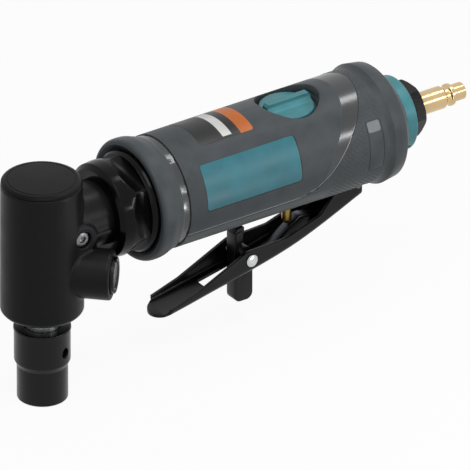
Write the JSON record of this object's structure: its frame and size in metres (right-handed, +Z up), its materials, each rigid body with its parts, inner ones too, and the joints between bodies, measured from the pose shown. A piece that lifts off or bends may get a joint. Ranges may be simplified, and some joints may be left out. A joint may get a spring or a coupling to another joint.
{
  "type": "right-angle pneumatic die grinder",
  "caption": "Right-angle air die grinder: upright gear head with collet nut below, round slate grip with throttle lever and safety catch, teal regulator and exhaust ring, brass air plug.",
  "frame": {"origin": "middle of the flat top face of the angle head, on the spindle's axis", "axes": "+Z up along the spindle, away from the collet; +X along the barrel towards the air inlet; +Y across"},
  "size_m": [0.1967, 0.0466, 0.0894],
  "materials": {
    "black_head": "satin",
    "gloss_black": "gloss",
    "black_oxide": "satin",
    "black_lever": "satin",
    "steel": "machined",
    "bearing_steel": "polished",
    "spring_steel": "drawn wire",
    "brass": "turned and polished",
    "cast_aluminium": "machined casting",
    "slate_plastic": "satin moulded",
    "teal_plastic": "moulded",
    "rubber": "matt",
    "felt": "matt",
    "vane_fibre": "matt"
  },
  "bodies": {
    "grinder": {"head_body": "black_head", "head_cap": "black_head", "lubrication_screw": "steel", "upper_spindle_bearing": "bearing_steel", "lower_spindle_bearing": "bearing_steel", "spindle_seal": "rubber", "lock_spring": "spring_steel", "pinion_front_bearing": "bearing_steel", "pinion_spacer": "steel", "pinion_rear_bearing": "bearing_steel", "pinion_circlip": "spring_steel", "front_end_plate": "cast_aluminium", "rotor_front_bearing": "bearing_steel", "motor_cylinder": "steel", "rear_end_plate": "cast_aluminium", "rotor_rear_bearing": "bearing_steel", "clamp_nut": "gloss_black", "motor_housing": "cast_aluminium", "grip_body": "slate_plastic", "grip_top_shell": "slate_plastic", "silencer": "felt", "inlet_bushing": "gloss_black", "inlet_seal": "rubber", "plug_nipple": "brass", "valve_seat": "brass", "valve_spring": "spring_steel", "stem_o_ring": "rubber", "lever_pin": "steel"},
    "spindle": {"spindle": "steel", "bevel_gear": "steel", "collet": "steel"},
    "collet_nut": {"collet_nut": "black_oxide"},
    "rotor": {"rotor": "steel", "bevel_pinion": "steel", "rotor_vane_1": "vane_fibre", "rotor_vane_2": "vane_fibre", "rotor_vane_3": "vane_fibre", "rotor_vane_4": "vane_fibre", "rotor_vane_5": "vane_fibre"},
    "spindle_lock": {"spindle_lock_button": "black_head"},
    "throttle_lever": {"throttle_lever": "black_lever", "lever_strip": "steel", "safety_pin": "steel", "safety_spring": "spring_steel"},
    "safety_catch": {"safety_lever": "black_lever"},
    "throttle_valve": {"throttle_valve": "brass"},
    "regulator": {"regulator_knob": "teal_plastic", "regulator_o_ring": "rubber", "regulator_clip": "spring_steel"},
    "exhaust_ring": {"exhaust_ring": "teal_plastic"}
  },
  "joints": [
    {"name": "spindle_spin", "type": "hinge", "parent": "grinder", "child": "spindle", "pos_m": [0, 0, -0.0504], "axis": [0, 0, 1], "continuous": true},
    {"name": "rotor_spin", "type": "hinge", "parent": "grinder", "child": "rotor", "pos_m": [0.06, 0, -0.0204], "axis": [1, 0, 0], "continuous": true},
    {"name": "collet_nut_turn", "type": "hinge", "parent": "spindle", "child": "collet_nut", "pos_m": [0, 0, -0.0704], "axis": [0, 0, 1], "continuous": true},
    {"name": "spindle_lock_press", "type": "slide", "parent": "grinder", "child": "spindle_lock", "axis": [-0.7071, 0.7071, 0], "range_m": [0, 0.003], "stiffness_N_per_m": 400, "springref_m": -0.008},
    {"name": "throttle_squeeze", "type": "hinge", "parent": "grinder", "child": "throttle_lever", "pos_m": [0.1305, 0, -0.0387], "axis": [0, 1, 0], "range_deg": [0, 8], "stiffness_Nm_per_rad": 1.5, "springref_deg": -8.59},
    {"name": "safety_catch_fold", "type": "hinge", "parent": "throttle_lever", "child": "safety_catch", "pos_m": [0.0855, 0, -0.0565], "axis": [0, 1, 0], "range_deg": [0, 80], "stiffness_Nm_per_rad": 0.01, "springref_deg": -17.19},
    {"name": "valve_lift", "type": "slide", "parent": "grinder", "child": "throttle_valve", "axis": [0, 0, 1], "range_m": [0, 0.0044], "stiffness_N_per_m": 400, "springref_m": -0.008, "deforming": ["valve_spring"]},
    {"name": "regulator_turn", "type": "hinge", "parent": "grinder", "child": "regulator", "pos_m": [0.1054, 0, -0.0034], "axis": [0, 0, 1], "range_deg": [-90, 90]},
    {"name": "exhaust_ring_turn", "type": "hinge", "parent": "grinder", "child": "exhaust_ring", "pos_m": [0.148, 0, -0.0204], "axis": [1, 0, 0], "continuous": true}
  ],
  "couplings": [
    {"joint": "rotor_spin", "follows": "spindle_spin", "ratio": 1.25},
    {"joint": "safety_catch_fold", "follows": "throttle_squeeze", "ratio": 10},
    {"joint": "valve_lift", "follows": "throttle_squeeze", "m_per_rad": 0.0315}
  ]
}
